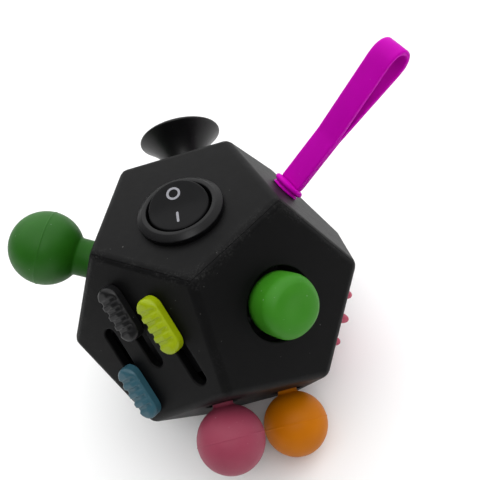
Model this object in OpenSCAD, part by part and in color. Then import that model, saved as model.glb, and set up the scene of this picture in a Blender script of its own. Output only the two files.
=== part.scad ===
// Twelve-sided fidget toy: a hollow dodecahedron of two shells with a different
// thing to click, slide, squeeze or spin on each face.
// Origin: middle of the resting face. +Z goes up to the rocker switch face and
// -Y goes to the corner between the sliders and the joystick. Millimetres.
//
// Face frame used below: z = 0 is the outer surface and +z points outward,
// x runs down the slope of the face and y runs round the body, counter-clockwise.

/* [Body] */
// Distance between two opposite faces
across_flats = 52; // [48:1:66]
// Thickness of the shell walls
wall = 1.8; // [1.4:0.1:2.2]
// Depth that the edge bevel takes off the sharp edge
bevel_depth = 0.5; // [0.2:0.05:0.8]
// How far the lap joint reaches past the seam
lap_reach = 1.2; // [0.8:0.1:1.6]
// Thickness of the lap joint's tongue
lap_t = 0.7; // [0.5:0.05:0.9]
// Radius of the finger dish in the resting face
dish_r = 10; // [8:0.5:11]
// Depth of the finger dish
dish_depth = 1.4; // [0.8:0.1:1.8]

/* [Fits] */
// Radial clearance of a running fit
running = 0.06; // [0.03:0.01:0.1]
// Side clearance of sliding and pressed pieces
sliding = 0.1; // [0.08:0.01:0.2]
// Gap left round soft pieces
soft_gap = 0.15; // [0.1:0.05:0.3]

/* [Screws] */
// Radius of the posts that take the screws
post_r = 1.4; // [1.3:0.05:1.5]
// Radius of the self-tapping screws
screw_r = 0.6; // [0.5:0.05:0.7]
// Radius of the screw heads
head_r = 1.15; // [1:0.05:1.25]
// Height of the screw heads
head_h = 0.7; // [0.5:0.1:0.8]
// Thickness of the plates that the screws hold
plate_t = 1; // [0.8:0.1:1.2]

/* [Switch] */
// Radius of the round bezel
bezel_r = 8.6; // [8:0.1:9]
// Height of the bezel above the face
bezel_h = 1.9; // [1.2:0.1:2.2]
// Radius of the barrel behind the bezel
barrel_r = 7.35; // [7:0.05:7.5]
// Depth of the barrel behind the face
barrel_depth = 9.5; // [9.2:0.1:10]
// Radius of the opening that the rocker sits in
well_r = 6.5; // [6.2:0.05:6.6]
// Radius of the rocker
rocker_r = 6; // [5.6:0.05:6.1]
// Tilt of the rocker to each side, degrees
rocker_tilt = 8; // [5:0.5:9]
// How far the switch sits from the middle of its face
switch_shift = 2.2; // [0:0.1:3]

/* [Joystick] */
// Radius of the silicone cap
cap_r = 6.2; // [6:0.1:6.6]
// Height of the cap above the face
cap_h = 5.8; // [4.6:0.1:6.4]
// Radius of the hole round the cap
joy_hole_r = 7.3; // [7.25:0.05:7.6]
// Depth of the tilting centre behind the face
pivot_depth = 4.6; // [4.4:0.1:5]
// Outer radius of the gimbal ring
gimbal_r = 5.2; // [5:0.1:5.4]
// Radius of the stick
stick_r = 1.7; // [1.5:0.1:1.9]

/* [Sliders] */
// Distance between neighbouring slots
slot_pitch = 7.7; // [7.4:0.1:8]
// Width of a slot
slot_w = 3.2; // [2.8:0.1:3.4]
// Travel of a slider
slide_travel = 10.3; // [8:0.1:10.4]
// Length of a slider knob
knob_l = 11.6; // [10:0.1:12]
// Width of a slider knob
knob_w = 4.8; // [4.4:0.1:5.2]
// Height of a slider knob
knob_h = 2.4; // [1.8:0.1:3]
// Length of the stem that runs in the slot
stem_l = 7.2; // [6:0.1:7.6]

/* [Strap] */
// Length of the loop from its collar to its tip
strap_l = 34; // [30:1:46]
// Width of the band
strap_w = 5.4; // [4.6:0.1:6]
// Thickness of the band
band_t = 1.1; // [1:0.1:1.6]
// Widest depth of the loop near its tip
loop_d = 7.2; // [6.4:0.1:9]
// Lean of the loop from the face's normal, degrees
strap_lean = 11.5; // [0:0.5:15]
// Radius of the collar
collar_r = 3.6; // [3.3:0.1:4]

/* [Suction cup] */
// Radius of the cup's rim
cup_r = 9.65; // [8:0.05:12]
// Height of the rim above the face
cup_h = 11.8; // [9:0.1:13]
// Radius of the stem
cup_stem_r = 3.8; // [3.4:0.1:4.4]

/* [Balls] */
// Radius of the large ball
big_ball_r = 8.15; // [7:0.05:9]
// Height of the large ball's middle above its face
big_ball_h = 12.05; // [11:0.05:14]
// Radius of the large ball's neck
big_neck_r = 4.2; // [3.2:0.1:4.4]
// Radius of the two small balls
small_ball_r = 6.85; // [6:0.05:6.95]
// Height of the small balls' middles above their face
small_ball_h = 7.1; // [7.1:0.1:8.5]
// Radius of the small balls' necks
small_neck_r = 3.3; // [2.8:0.1:3.6]

/* [Stud pad] */
// Radius of the pad
pad_r = 9; // [8.6:0.1:9.2]
// Number of studs round the pad
stud_count = 8; // [6:1:9]
// Radius of the ring of studs
stud_ring_r = 7.4; // [6:0.1:7.6]
// Height of a stud above the pad
stud_h = 1.9; // [1:0.1:2.2]

/* [Rollers] */
// Radius of the ribbed rollers
roller_r = 4.2; // [3.8:0.1:4.4]
// Width of one roller
roller_w = 3.2; // [2.8:0.1:3.4]
// Gap between neighbouring rollers
roller_gap = 0.4; // [0.3:0.05:0.6]
// Radius of the axle
axle_r = 0.8; // [0.7:0.05:1]
// Number of ribs on a roller
rib_count = 12; // [8:1:16]

/* [Buttons] */
// Radius of a click button
button_r = 3; // [2.6:0.1:3.3]
// Height of a button above the face
button_h = 1.6; // [1.3:0.1:2.4]
// Travel of a button
button_travel = 1.2; // [0.8:0.1:1.3]
// Distance of each button from the middle of the face
button_ring_r = 5.2; // [5:0.1:5.4]

/* [Dial] */
// Radius of the dial
dial_r = 8.6; // [7:0.1:9.5]
// Thickness of the dial
dial_t = 2.3; // [1.8:0.1:3]
// Radius of the dial's hub
hub_r = 2.6; // [2:0.1:3]
// Number of notches round the dial
notch_count = 20; // [12:1:24]

/* [Hidden] */
$fn = 48;

// Dodecahedron proportions
golden = (1 + sqrt(5)) / 2;
ri = across_flats / 2;
edge = across_flats / sqrt(5 / 2 + 11 / 10 * sqrt(5));
corner_r = sqrt(3) * golden / 2 * edge;
belt_r = edge * tan(54);
belt_z = sqrt(corner_r * corner_r - belt_r * belt_r);
edge_r = golden * golden / 2 * edge;
face_tilt = atan(2);

// Where each face lies: turn about Z, then tilt away from +Z
TOP = [0, 0];
JOYSTICK = [-54, face_tilt];
STRAP = [18, face_tilt];
CUP = [90, face_tilt];
BIG_BALL = [162, face_tilt];
SLIDERS = [234, face_tilt];
ROLLERS = [54, 180 - face_tilt];
BUTTONS = [126, 180 - face_tilt];
DIAL = [198, 180 - face_tilt];
SMALL_BALLS = [270, 180 - face_tilt];
STUDS = [342, 180 - face_tilt];
BOTTOM = [0, 180];

// Turns that put screw posts towards the corners of an upper and a lower face
upper_post_turns = [0, 144, 216];
lower_post_turns = [36, 180, 324];

// Switch levels
rocker_z = -1;
rocker_crease = 3.2;
rocker_skirt = 1.4;
pin_r = 0.9;
well_chamfer = 0.5;
bezel_flat = 0.2;
pin_reach = well_r + 0.5;
tube_r = 1.7;
tube_l = 3.4;
tube_end_z = 0.6;
plunger_top_z = -2.6;
plunger_r = 0.85;
plunger_reach = 4.4;
lever_t = 0.4;
lever_gap = 0.1;
lever_z = rocker_z - plunger_reach - plunger_r - lever_gap - lever_t;
lever_tilt = 6;
contact_gap = 0.75;
barrel_wall = 1.2;
well_floor_z = barrel_wall - barrel_depth;
terminal_end_z = -14;
terminal_pitch = 3.4;
terminal_t = 0.8;
terminal_w = 4.8;

// Joystick levels
cup_wall = 1;
housing_r = joy_hole_r + 0.4;
housing_floor_z = -9;
joy_flange_z = -4.5;
joy_post_ring = 10.6;
dish_z = -7.3;
dish_t = 0.6;
dish_plate_r = 3;
stick_knuckle_r = 2.5;
stick_tail_r = 1.3;
stick_end_z = 3.2;
gimbal_web = 1.3;
gimbal_t = 2;
gimbal_pin_r = 0.7;

// Slider levels, along the slots (s) and across them (q)
slider_turn = 36;
outer_slot_s = 3.45;
middle_slot_s = -2.85;
slot_l = slide_travel + stem_l;
knob_gap = 0.25;
clip_top_z = -wall - 0.3;
clip_l = 9.2;
clip_w = 5.2;
clip_t = 1;
peg_s = 1.9;
peg_r = 0.8;
slider_plate_z = -4.2;
slider_posts = [[-4, 12.1], [-4, -12.1], [11, 0]];
// Rest place of each knob on its slot, from the slot's middle
black_rest = -slide_travel / 2 + 1;
lime_rest = -slide_travel / 2;
blue_rest = slide_travel / 2;

// Strap frame
strap_shift = [-2.6, 1.9];
strap_turn = 108;
collar_h = 1.3;
collar_base_h = 0.7;
collar_base_r = 3.2;
collar_waist_r = 2.7;
collar_gap = 0.1;
strap_neck = 1.1;
strap_hole_r = 2;
collar_top_z = collar_gap + collar_base_h + collar_h;
bend_z = collar_top_z + strap_neck + 0.15;

// Ball places on their faces: [down the slope, round the body]
big_ball_at = [1.2, 1];
pink_at = [-7.4, -3.3];
orange_at = [4.3, 9.2];

// Posts of the stud pad, rollers and buttons
stud_post_ring = 11.6;
pad_rise = 1.4;
stud_start = 36;
pad_plug_r = pad_r - 0.65;
stud_flange_r = 9.9;
stud_flange_z = -3;
roller_z = -1.6;
roller_half = 1.5 * roller_w + roller_gap;
cheek_gap = 0.4;
cheek_t = 1.2;
cradle_z = -6.4;
cradle_post_y = roller_half + cheek_gap + cheek_t + 1.9;
button_plate_z = -6.6;
button_post_ring = 9.4;
button_roof_z = -0.6;

// Dial washer and screw
washer_t = 0.8;
washer_z = -wall - 1.1;
dial_screw_r = 0.78;

// ---------- Placement ----------

// Moves its children into the frame of a face
module on_face(face) {
  translate([0, 0, ri])
    rotate([0, 0, face[0]])
      rotate([0, face[1], 0])
        translate([0, 0, ri])
          children();
}

// Slider frame: x along the slots, y across them
module slider_frame(s, q) {
  on_face(SLIDERS)
    rotate([0, 0, slider_turn])
      translate([s, q, 0])
        children();
}

// Copies its children to each listed turn about the z axis
module at_turns(turns) {
  for (turn = turns)
    rotate([0, 0, turn])
      children();
}

// Copies its children round the z axis
module around(count, start) {
  for (i = [0 : count - 1])
    rotate([0, 0, start + 360 / count * i])
      children();
}

// ---------- Shared shapes ----------

// Slab between two opposite faces, edges or corners
module slab(turn, tilt, half) {
  rotate([0, 0, turn])
    rotate([0, tilt, 0])
      cube([6 * ri, 6 * ri, 2 * half], center = true);
}

// Dodecahedron centred on the origin, from its inradius
module sharp_body(r) {
  intersection() {
    slab(0, 0, r);
    intersection_for (i = [0 : 4])
      slab(18 + 72 * i, face_tilt, r);
  }
}

// The same with all 30 edges bevelled
module bevelled_body() {
  bevel_at = edge_r - bevel_depth;
  intersection() {
    sharp_body(ri);
    intersection_for (i = [0 : 4]) {
      intersection() {
        slab(18 + 72 * i, face_tilt / 2, bevel_at);
        slab(54 + 72 * i, 90 - face_tilt / 2, bevel_at);
        slab(36 * i, 90, bevel_at);
      }
    }
  }
}

// Everything on the rear side of the seam, which follows ten body edges
module rear_zone(shift) {
  reach = 1.6;
  ring = [for (i = [0 : 9]) [
    reach * belt_r * cos(36 * i),
    reach * belt_r * sin(36 * i),
    reach * (i % 2 == 0 ? belt_z : -belt_z)
  ]];
  points = concat([[0, 0, 0], [0, 0, 5 * edge]], ring);
  inner = [for (i = [0 : 9]) [0, 2 + i, 2 + (i + 1) % 10]];
  outer = [for (i = [0 : 9]) [1, 2 + (i + 1) % 10, 2 + i]];
  rotate([0, 0, CUP[0]])
    rotate([0, CUP[1], 0])
      translate([0, 0, shift])
        polyhedron(points = points, faces = concat(inner, outer));
}

// Hollow body, centred at its real place
module hollow_body() {
  translate([0, 0, ri])
    difference() {
      bevelled_body();
      sharp_body(ri - wall);
    }
}

// Layer just outside the inner surface that the lap joint uses
module lap_layer(gap) {
  difference() {
    sharp_body(ri - wall + lap_t + gap);
    sharp_body(ri - wall - gap);
  }
}

// Post on the inside of a wall, reaching down to z
module post(z) {
  translate([0, 0, z])
    cylinder(h = -wall - z + 0.4, r = post_r);
}

// Pilot hole in that post
module pilot(z) {
  translate([0, 0, z - 1])
    cylinder(h = -wall - z + 0.9, r = screw_r);
}

// Screw that holds a plate whose top is at z
module screw(z) {
  translate([0, 0, z - plate_t - head_h])
    difference() {
      union() {
        cylinder(h = head_h, r = head_r);
        cylinder(h = head_h + plate_t - wall - z - 0.3, r = screw_r - 0.02);
      }
      translate([0, 0, -0.1])
        cylinder(h = 0.4, r = 0.5, $fn = 6);
    }
}

// Round ear of a plate with its screw hole
module ear(z) {
  translate([0, 0, z - plate_t])
    cylinder(h = plate_t, r = post_r + 0.3);
}

module ear_hole(z) {
  translate([0, 0, z - plate_t - 0.5])
    cylinder(h = plate_t + 1, r = screw_r + 0.1);
}

// Bar with half-round ends, lying along x
module stadium(l, w, h) {
  cube_l = l - w;
  translate([-cube_l / 2, -w / 2, 0])
    cube([cube_l, w, h]);
  for (side = [-1, 1])
    translate([side * cube_l / 2, 0, 0])
      cylinder(h = h, d = w);
}

// Round-wire compression spring standing on z = 0
module coil(r, wire, length, turns) {
  steps = 10;
  sides = 6;
  rings = turns * steps;
  climb = length - 2 * wire;
  points = [for (i = [0 : rings]) for (k = [0 : sides - 1])
    let (a = 360 / steps * i, b = 360 / sides * k, d = r + wire * cos(b))
    [d * cos(a), d * sin(a), wire + climb * i / rings + wire * sin(b)]
  ];
  skin = [for (i = [0 : rings - 1]) for (k = [0 : sides - 1])
    let (n = (k + 1) % sides, p = i * sides, q = p + sides)
    each [[p + k, q + k, q + n], [p + k, q + n, p + n]]
  ];
  start_cap = [[for (k = [0 : sides - 1]) k]];
  end_cap = [[for (k = [sides - 1 : -1 : 0]) rings * sides + k]];
  polyhedron(points = points, faces = concat(skin, start_cap, end_cap));
}

// ---------- Body ----------

// Holes, slots and windows that the faces on the front shell need
module front_openings() {
  on_face(JOYSTICK)
    translate([0, 0, -2 * wall])
      cylinder(h = 3 * wall, r = joy_hole_r);
  for (row = [-1 : 1])
    slider_frame(row == 0 ? middle_slot_s : outer_slot_s, row * slot_pitch)
      translate([0, 0, -2 * wall])
        stadium(slot_l, slot_w, 3 * wall);
  on_face(STUDS)
    translate([0, 0, -2 * wall])
      cylinder(h = 3 * wall, r = pad_plug_r + sliding);
  for (at = [pink_at, orange_at])
    on_face(SMALL_BALLS)
      translate([at[0], at[1], -2 * wall])
        cylinder(h = 3 * wall, r = small_neck_r + soft_gap);
  on_face(DIAL)
    translate([0, 0, -2 * wall])
      cylinder(h = 3 * wall, r = hub_r + running);
}

// Screw posts of the front shell, or their pilot holes
module front_posts(holes) {
  on_face(JOYSTICK)
    at_turns(upper_post_turns)
      translate([joy_post_ring, 0, 0])
        post_or_pilot(joy_flange_z, holes);
  for (at = slider_posts)
    slider_frame(at[0], at[1])
      post_or_pilot(slider_plate_z, holes);
  on_face(STUDS)
    at_turns(lower_post_turns)
      translate([stud_post_ring, 0, 0])
        post_or_pilot(stud_flange_z, holes);
}

// Screw posts of the rear shell, or their pilot holes
module rear_posts(holes) {
  on_face(ROLLERS)
    for (side = [-1, 1])
      translate([0, side * cradle_post_y, 0])
        post_or_pilot(cradle_z, holes);
  on_face(BUTTONS)
    around(3, 60)
      translate([button_post_ring, 0, 0])
        post_or_pilot(button_plate_z, holes);
}

module post_or_pilot(z, holes) {
  if (holes)
    pilot(z);
  else
    post(z);
}

// Sphere that hollows the finger dish
module dish_cut() {
  dish_sphere_r = (dish_r * dish_r + dish_depth * dish_depth) / (2 * dish_depth);
  translate([0, 0, dish_depth - dish_sphere_r])
    sphere(r = dish_sphere_r, $fn = 96);
}

module front_shell() {
  color("#161617")
    difference() {
      union() {
        difference() {
          hollow_body();
          translate([0, 0, ri])
            rear_zone(0);
        }
        front_posts(false);
        translate([0, 0, wall / 2])
          cylinder(h = wall / 2 + dish_depth, r = dish_r + 1);
      }
      translate([0, 0, ri])
        intersection() {
          lap_layer(running);
          rear_zone(-lap_reach - running);
        }
      front_openings();
      front_posts(true);
      dish_cut();
    }
}

module rear_shell() {
  color("#161617")
    difference() {
      union() {
        intersection() {
          hollow_body();
          translate([0, 0, ri])
            rear_zone(0);
        }
        translate([0, 0, ri])
          intersection() {
            lap_layer(0);
            rear_zone(-lap_reach);
          }
        rear_posts(false);
      }
      on_face(TOP)
        translate([0, -switch_shift, -2 * wall])
          cylinder(h = 3 * wall, r = barrel_r + running);
      on_face(STRAP)
        translate([strap_shift[0], strap_shift[1], -2 * wall])
          cylinder(h = 3 * wall, r = strap_hole_r);
      on_face(CUP)
        translate([0, 0, -2 * wall])
          cylinder(h = 3 * wall, r = cup_stem_r + soft_gap);
      on_face(BIG_BALL)
        translate([big_ball_at[0], big_ball_at[1], -2 * wall])
          cylinder(h = 3 * wall, r = big_neck_r + soft_gap);
      on_face(ROLLERS)
        translate([0, 0, -wall / 2])
          cube([2 * roller_r + 2 * cheek_gap,
                2 * (roller_half + cheek_gap + cheek_t + 0.3), 3 * wall], center = true);
      on_face(BUTTONS)
        around(3, 0)
          translate([button_ring_r, 0, -2 * wall])
            cylinder(h = 3 * wall, r = button_r + sliding);
      rear_posts(true);
    }
}

module retainer_screws() {
  color("#b9bcc0") {
    on_face(JOYSTICK)
      at_turns(upper_post_turns)
        translate([joy_post_ring, 0, 0])
          screw(joy_flange_z);
    for (at = slider_posts)
      slider_frame(at[0], at[1])
        screw(slider_plate_z);
    on_face(STUDS)
      at_turns(lower_post_turns)
        translate([stud_post_ring, 0, 0])
          screw(stud_flange_z);
    on_face(ROLLERS)
      for (side = [-1, 1])
        translate([0, side * cradle_post_y, 0])
          screw(cradle_z);
    on_face(BUTTONS)
      around(3, 60)
        translate([button_post_ring, 0, 0])
          screw(button_plate_z);
  }
}

// ---------- Rocker switch ----------

module switch_frame() {
  on_face(TOP)
    translate([0, -switch_shift, 0])
      children();
}

// The rocker's own frame: origin on its hinge pin, tilted as it rests
module rocker_frame() {
  switch_frame()
    translate([0, 0, rocker_z])
      rotate([rocker_tilt, 0, 0])
        children();
}

module switch_housing() {
  snap_r = barrel_r + 0.4;
  color("#101011")
    switch_frame()
      difference() {
        rotate_extrude()
          polygon([
            [0, -barrel_depth], [barrel_r, -barrel_depth],
            [barrel_r, -wall - 1.2], [snap_r, -wall - 0.3], [snap_r, -wall],
            [barrel_r, -wall], [barrel_r, 0], [bezel_r, 0],
            [bezel_r, bezel_h * 0.55],
            [well_r + well_chamfer + bezel_flat, bezel_h],
            [well_r + well_chamfer, bezel_h], [well_r, bezel_h * 0.4],
            [well_r, well_floor_z], [0, well_floor_z]
          ]);
        translate([0, 0, rocker_z])
          rotate([0, 90, 0])
            cylinder(h = 2 * (pin_reach + 0.15), r = pin_r + running, center = true);
        for (y = [0, terminal_pitch])
          translate([0, y, -barrel_depth])
            cube([terminal_w, terminal_t, 4], center = true);
      }
}

module switch_rocker() {
  rise = rocker_r * tan(rocker_tilt);
  color("#1b1b1d")
    rocker_frame()
      difference() {
        union() {
          intersection() {
            translate([0, 0, -rocker_skirt])
              cylinder(h = rocker_skirt + rocker_crease + rise, r = rocker_r);
            rotate([90, 0, 90])
              linear_extrude(height = 3 * rocker_r, center = true)
                polygon([
                  [-rocker_r, -rocker_skirt], [rocker_r, -rocker_skirt],
                  [rocker_r, rocker_crease + rise], [0, rocker_crease],
                  [-rocker_r, rocker_crease + rise]
                ]);
          }
          rotate([0, 90, 0])
            cylinder(h = 2 * pin_reach, r = pin_r, center = true);
          translate([0, 0, -tube_l])
            cylinder(h = tube_l, r = tube_r);
        }
        translate([0, 0, -2 * tube_l])
          cylinder(h = 2 * tube_l + tube_end_z, r = plunger_r + soft_gap);
      }
}

module switch_plunger() {
  color("#d8d4c8")
    rocker_frame() {
      translate([0, 0, -plunger_reach])
        cylinder(h = plunger_reach + plunger_top_z, r = plunger_r);
      translate([0, 0, -plunger_reach])
        sphere(r = plunger_r);
    }
}

module switch_spring() {
  color("#b9bcc0")
    rocker_frame()
      translate([0, 0, plunger_top_z])
        coil(0.65, 0.15, tube_end_z - plunger_top_z, 5);
}

module switch_lever() {
  color("#b88a3c")
    switch_frame()
      translate([0, 0, lever_z])
        rotate([-lever_tilt, 0, 0]) {
          translate([-1.2, -terminal_pitch - 0.5, 0])
            cube([2.4, 2 * terminal_pitch + 1, lever_t]);
          rotate([0, 90, 0])
            cylinder(h = 2.4, r = 0.35, center = true);
        }
}

module switch_terminals() {
  color("#c9a24a")
    switch_frame() {
      translate([-terminal_w / 2, -terminal_t / 2, terminal_end_z])
        cube([terminal_w, terminal_t, lever_z - 0.4 - terminal_end_z]);
      translate([-terminal_w / 2, terminal_pitch - terminal_t / 2, terminal_end_z])
        cube([terminal_w, terminal_t, lever_z - contact_gap - terminal_end_z]);
    }
}

// ---------- Joystick ----------

module joystick_cap() {
  edge_round = 2.6;
  hollow = 1.2;
  core_r = 3;
  core_end_z = 1.5;
  cap_skirt_z = -2;
  color("#3fa02f")
    on_face(JOYSTICK)
      rotate_extrude()
        polygon(concat(
          [[stick_r, cap_skirt_z], [core_r, cap_skirt_z], [core_r, core_end_z],
           [cap_r - hollow, core_end_z], [cap_r - hollow, cap_skirt_z],
           [cap_r, cap_skirt_z]],
          [for (a = [0 : 15 : 90]) [
            cap_r - edge_round + edge_round * cos(a),
            cap_h - edge_round + edge_round * sin(a)
          ]],
          [[2, cap_h - 0.25], [0, cap_h - 0.35], [0, stick_end_z], [stick_r, stick_end_z]]
        ));
}

module joystick_stick() {
  color("#2b2b2d")
    on_face(JOYSTICK) {
      translate([0, 0, -pivot_depth])
        sphere(r = stick_knuckle_r);
      translate([0, 0, -pivot_depth])
        cylinder(h = pivot_depth + stick_end_z, r = stick_r);
      translate([0, 0, dish_z])
        cylinder(h = -pivot_depth - dish_z, r = stick_tail_r);
      translate([0, 0, dish_z])
        cylinder(h = dish_t, r = dish_plate_r);
      translate([0, 0, -pivot_depth])
        rotate([0, 90, 0])
          cylinder(h = 2 * gimbal_r - 0.6, r = gimbal_pin_r, center = true);
    }
}

module gimbal_ring() {
  pin_end = housing_r + 0.7;
  color("#2b2b2d")
    on_face(JOYSTICK)
      translate([0, 0, -pivot_depth])
        difference() {
          union() {
            cylinder(h = gimbal_t, r = gimbal_r, center = true);
            rotate([90, 0, 0])
              cylinder(h = 2 * pin_end, r = gimbal_pin_r, center = true);
          }
          cylinder(h = 2 * gimbal_t, r = gimbal_r - gimbal_web, center = true);
          rotate([0, 90, 0])
            cylinder(h = 3 * gimbal_r, r = gimbal_pin_r + running, center = true);
        }
}

module joystick_housing() {
  outer_r = housing_r + cup_wall;
  color("#222224")
    on_face(JOYSTICK)
      difference() {
        union() {
          translate([0, 0, housing_floor_z - cup_wall])
            cylinder(h = -wall - 0.8 - housing_floor_z + cup_wall, r = outer_r);
          at_turns(upper_post_turns)
            web_ear(joy_flange_z, joy_post_ring);
        }
        translate([0, 0, housing_floor_z])
          cylinder(h = 20, r = housing_r);
        translate([0, 0, -pivot_depth])
          rotate([90, 0, 0])
            cylinder(h = 2 * outer_r + 2, r = gimbal_pin_r + running, center = true);
        at_turns(upper_post_turns)
          translate([joy_post_ring, 0, 0])
            ear_hole(joy_flange_z);
      }
}

// Ear joined to the middle by a web
module web_ear(z, ring) {
  translate([ring, 0, 0])
    ear(z);
  translate([ring - 4, -1.2, z - plate_t])
    cube([4, 2.4, plate_t]);
}

module joystick_spring() {
  color("#b9bcc0")
    on_face(JOYSTICK)
      translate([0, 0, housing_floor_z])
        coil(2.3, 0.2, dish_z - housing_floor_z, 2);
}

// ---------- Sliders ----------

module slider_knob(tint, s, q) {
  groove_pitch = (knob_l - knob_w) / 4;
  groove_r = 0.45;
  color(tint)
    slider_frame(s, q) {
      difference() {
        translate([0, 0, knob_gap])
          stadium(knob_l, knob_w, knob_h);
        for (i = [-1.5 : 1 : 1.5])
          translate([groove_pitch * i, 0, knob_gap + knob_h])
            rotate([90, 0, 0])
              cylinder(h = 2 * knob_w, r = groove_r, center = true);
        for (i = [-1.5 : 1 : 1.5])
          translate([groove_pitch * i, -knob_w / 2 - 0.1, -1])
            cylinder(h = 2 * knob_h + 1, r = groove_r);
      }
      translate([0, 0, clip_top_z])
        stadium(stem_l - 2 * sliding, slot_w - 2 * sliding, knob_gap - clip_top_z + 0.1);
      for (side = [-1, 1])
        translate([side * peg_s, 0, clip_top_z - clip_t])
          cylinder(h = clip_t + 0.1, r = peg_r);
    }
}

module slider_clip(s, q) {
  color("#2b2b2d")
    slider_frame(s, q)
      difference() {
        translate([0, 0, clip_top_z - clip_t])
          stadium(clip_l, clip_w, clip_t);
        for (side = [-1, 1])
          translate([side * peg_s, 0, clip_top_z - 2 * clip_t])
            cylinder(h = 3 * clip_t, r = peg_r);
      }
}

module slider_knob_black() {
  slider_knob("#222224", middle_slot_s + black_rest, 0);
}

module slider_knob_lime() {
  slider_knob("#a4c423", outer_slot_s + lime_rest, slot_pitch);
}

module slider_knob_blue() {
  slider_knob("#4f8292", outer_slot_s + blue_rest, -slot_pitch);
}

module slider_clip_black() {
  slider_clip(middle_slot_s + black_rest, 0);
}

module slider_clip_lime() {
  slider_clip(outer_slot_s + lime_rest, slot_pitch);
}

module slider_clip_blue() {
  slider_clip(outer_slot_s + blue_rest, -slot_pitch);
}

module slider_backplate() {
  plate_corner_r = 13.4;
  color("#2b2b2d")
    difference() {
      union() {
        on_face(SLIDERS)
          translate([0, 0, slider_plate_z - plate_t])
            cylinder(h = plate_t, r = plate_corner_r, $fn = 5);
        for (at = slider_posts)
          slider_frame(at[0], at[1])
            ear(slider_plate_z);
      }
      for (at = slider_posts)
        slider_frame(at[0], at[1])
          ear_hole(slider_plate_z);
    }
}

// ---------- Strap ----------

module strap_frame() {
  on_face(STRAP)
    translate([strap_shift[0], strap_shift[1], 0])
      rotate([0, 0, strap_turn])
        children();
}

// Outline that widens from its neck to a round tip
function teardrop(neck, neck_l, round_r, tip) = concat(
  [[neck, neck_l]],
  [for (a = [-5 : 10 : 185]) [round_r * cos(a), tip - round_r + round_r * sin(a)]],
  [[-neck, neck_l]]
);

// Round lower end of the neck, centred on the bend
function neck_end(neck) = [for (a = [180 : 20 : 360]) [neck * cos(a), neck * sin(a)]];

module strap_loop() {
  neck_l = strap_l * 0.32;
  hole_l = strap_l * 0.4;
  color("#b400af")
    strap_frame()
      translate([0, 0, bend_z])
        rotate([-strap_lean, 0, 0])
          rotate([90, 0, 90])
            linear_extrude(height = strap_w, center = true)
              difference() {
                polygon(concat(
                  neck_end(strap_neck),
                  teardrop(strap_neck, neck_l, loop_d / 2, strap_l)
                ));
                polygon(teardrop(0.15, hole_l, loop_d / 2 - band_t, strap_l - band_t));
              }
}

module strap_collar() {
  barb_r = 2.9;
  barb_l = 1.5;
  stem_r = strap_hole_r - running;
  round = 0.45;
  ring_z = collar_gap + collar_base_h;
  color("#b400af")
    strap_frame()
      rotate_extrude()
        polygon([
          [0, -wall - sliding - barb_l], [stem_r, -wall - sliding - barb_l],
          [barb_r, -wall - sliding - barb_l / 2], [barb_r, -wall - sliding],
          [stem_r, -wall - sliding], [stem_r, collar_gap],
          [collar_base_r, collar_gap], [collar_waist_r, ring_z],
          [collar_r - round, ring_z], [collar_r, ring_z + round],
          [collar_r, collar_top_z - round], [collar_r - round, collar_top_z],
          [0, collar_top_z]
        ]);
}

// ---------- Suction cup and balls ----------

// Plug that holds a soft piece in its hole, with room for the neck to bend
module plug(neck_r) {
  head_t = 0.8;
  head_z = -wall - 1.9;
  translate([0, 0, head_z])
    cylinder(h = head_t, r = neck_r + 1.4);
  translate([0, 0, head_z + head_t / 2])
    cylinder(h = 0.4 - head_z - head_t / 2, r = neck_r);
}

module suction_cup() {
  lip = 0.8;
  inner = 7;
  color("#1c1c1e")
    on_face(CUP) {
      plug(cup_stem_r);
      rotate_extrude()
        polygon(concat(
          [[0, 0.2], [cup_stem_r, 0.2]],
          [for (t = [0.1 : 0.1 : 1]) [
            cup_stem_r + (cup_r - cup_stem_r) * pow(t, 2.2),
            0.4 + (cup_h - lip - 0.4) * pow(t, 0.9)
          ]],
          [[cup_r, cup_h]],
          [for (t = [0.8 : -0.2 : 0]) [
            cup_r * t,
            inner + (cup_h - inner) * pow(t, 1.6) - (t > 0 ? 0.2 : 0)
          ]]
        ));
    }
}

module ball(r, h, neck_r) {
  plug(neck_r);
  translate([0, 0, 0.2])
    cylinder(h = h - 0.2, r = neck_r);
  translate([0, 0, h])
    sphere(r = r, $fn = 96);
}

module green_ball() {
  color("#337f26")
    on_face(BIG_BALL)
      translate([big_ball_at[0], big_ball_at[1], 0])
        ball(big_ball_r, big_ball_h, big_neck_r);
}

module pink_ball() {
  color("#a8506a")
    on_face(SMALL_BALLS)
      translate([pink_at[0], pink_at[1], 0])
        ball(small_ball_r, small_ball_h, small_neck_r);
}

module orange_ball() {
  color("#d5860c")
    on_face(SMALL_BALLS)
      translate([orange_at[0], orange_at[1], 0])
        ball(small_ball_r, small_ball_h, small_neck_r);
}

// ---------- Stud pad ----------

module stud() {
  base_r = 1.2;
  tip_r = 0.75;
  root_z = pad_rise - 0.2;
  tip_z = pad_rise + stud_h - tip_r;
  translate([0, 0, root_z])
    cylinder(h = tip_z - root_z, r1 = base_r, r2 = tip_r);
  translate([0, 0, tip_z])
    sphere(r = tip_r);
}

module stud_pad() {
  color("#cf5f78")
    on_face(STUDS) {
      cylinder(h = pad_rise, r = pad_r);
      translate([0, 0, stud_flange_z])
        cylinder(h = pad_rise / 2 - stud_flange_z, r = pad_plug_r);
      translate([0, 0, stud_flange_z])
        cylinder(h = -wall - running - stud_flange_z, r = stud_flange_r);
      stud();
      around(stud_count, stud_start)
        translate([stud_ring_r, 0, 0])
          stud();
    }
}

module stud_backing() {
  color("#2b2b2d")
    on_face(STUDS)
      difference() {
        union() {
          translate([0, 0, stud_flange_z - plate_t])
            cylinder(h = plate_t, r = stud_flange_r);
          at_turns(lower_post_turns)
            web_ear(stud_flange_z, stud_post_ring);
        }
        at_turns(lower_post_turns)
          translate([stud_post_ring, 0, 0])
            ear_hole(stud_flange_z);
      }
}

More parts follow.
